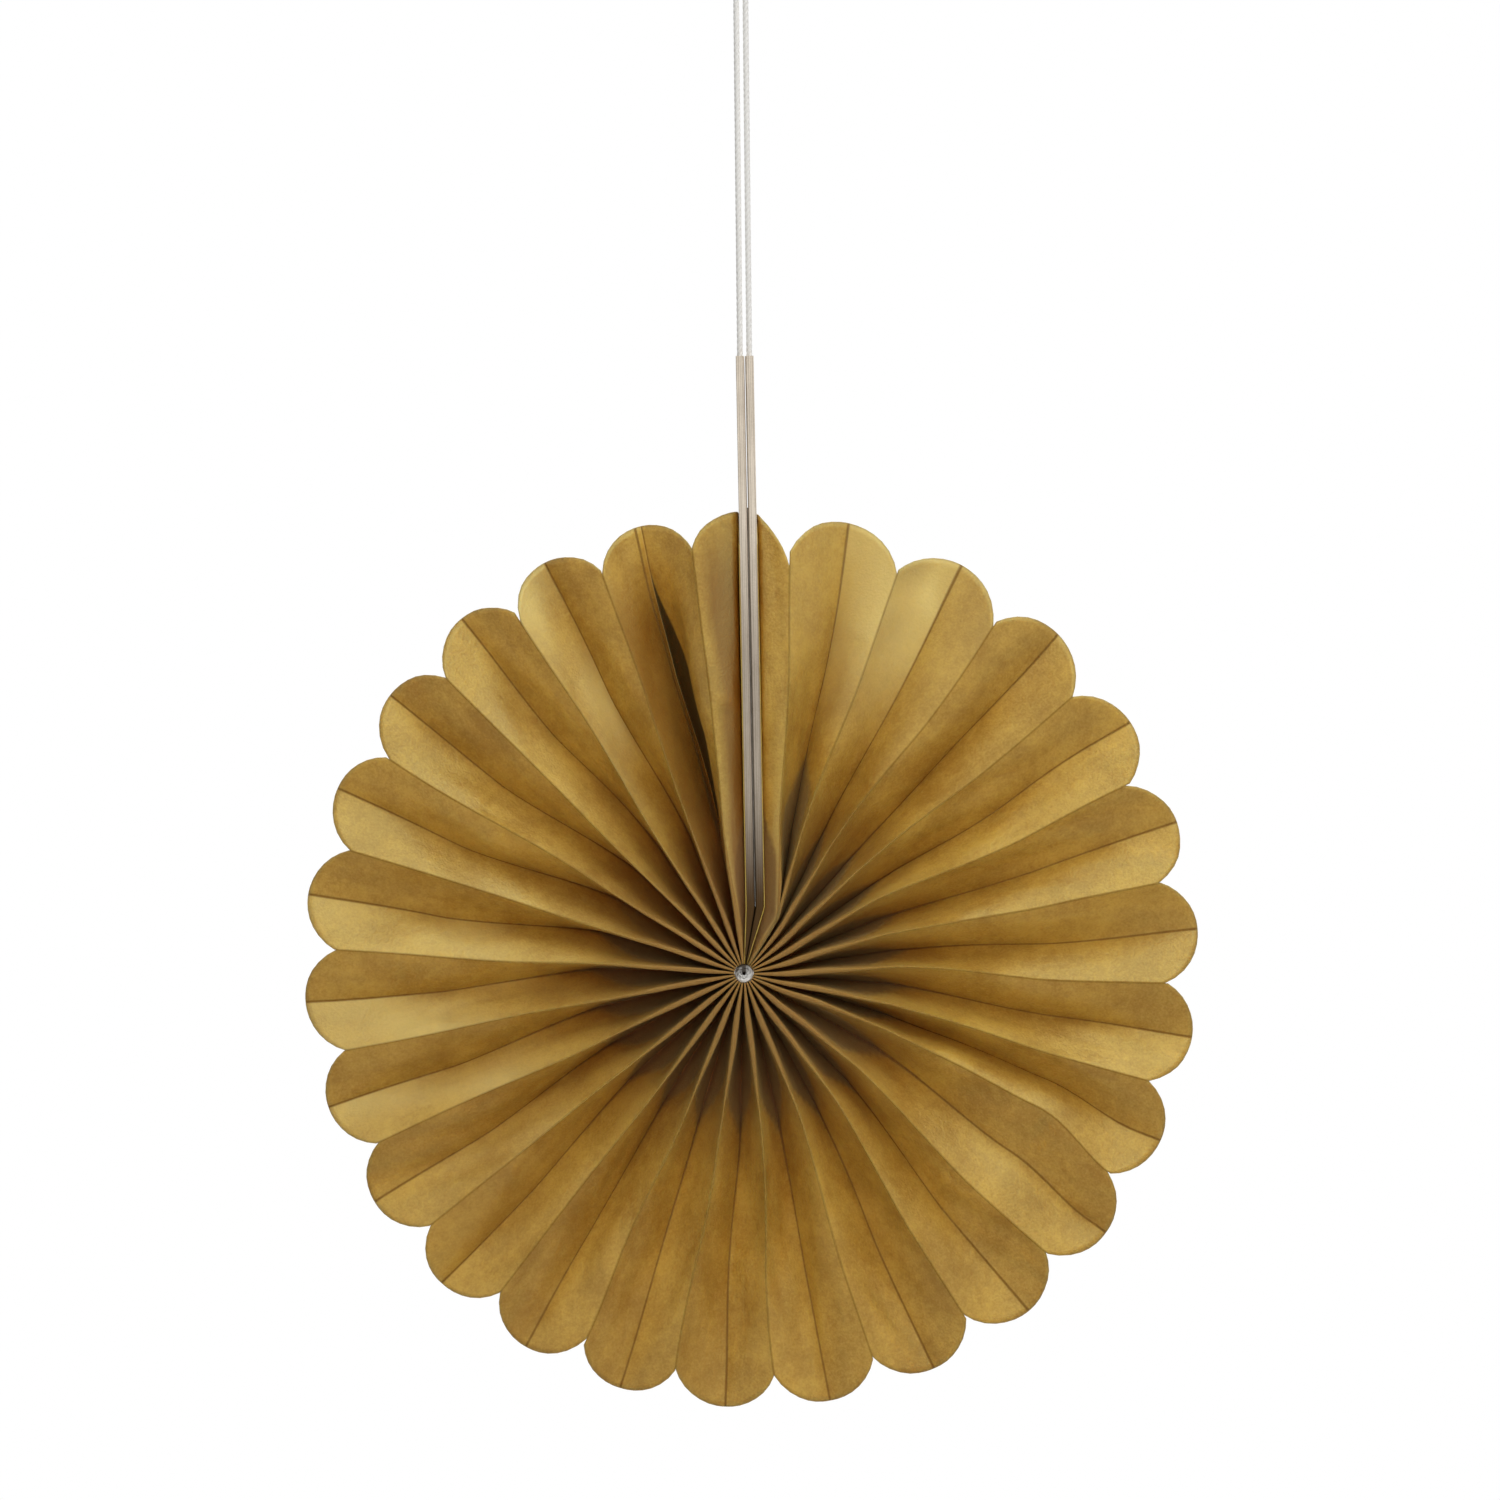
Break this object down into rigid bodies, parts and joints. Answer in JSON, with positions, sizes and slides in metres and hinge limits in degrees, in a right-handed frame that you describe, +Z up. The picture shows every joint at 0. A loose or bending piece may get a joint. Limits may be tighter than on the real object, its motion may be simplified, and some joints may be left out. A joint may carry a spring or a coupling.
{
  "type": "paper fan rosette",
  "caption": "Round rosette of pleated paper with scalloped petals, opened flat and held by two card strips, hanging from a doubled white cord as a party decoration.",
  "frame": {"origin": "the point where the cord's loop hangs on its pin, inside the top of the loop", "axes": "+Z up as it hangs, +X to the right and -Y towards the viewer, seen from the front"},
  "size_m": [0.1503, 0.0104, 0.2474],
  "materials": {
    "mustard_paper": "soft mustard tissue paper with a faint satin sheen and mottled fibres",
    "grey_card": "raw cut edge of grey board with faint plies",
    "clear_tape": "thin translucent double-sided tape",
    "white_cotton": "twisted white cotton"
  },
  "bodies": {
    "root": {"pleated_paper": "mustard_paper", "left_card_strip": "grey_card", "right_card_strip": "grey_card", "joining_tape": "clear_tape", "hanging_cord": "white_cotton", "centre_thread": "white_cotton"}
  },
  "joints": []
}
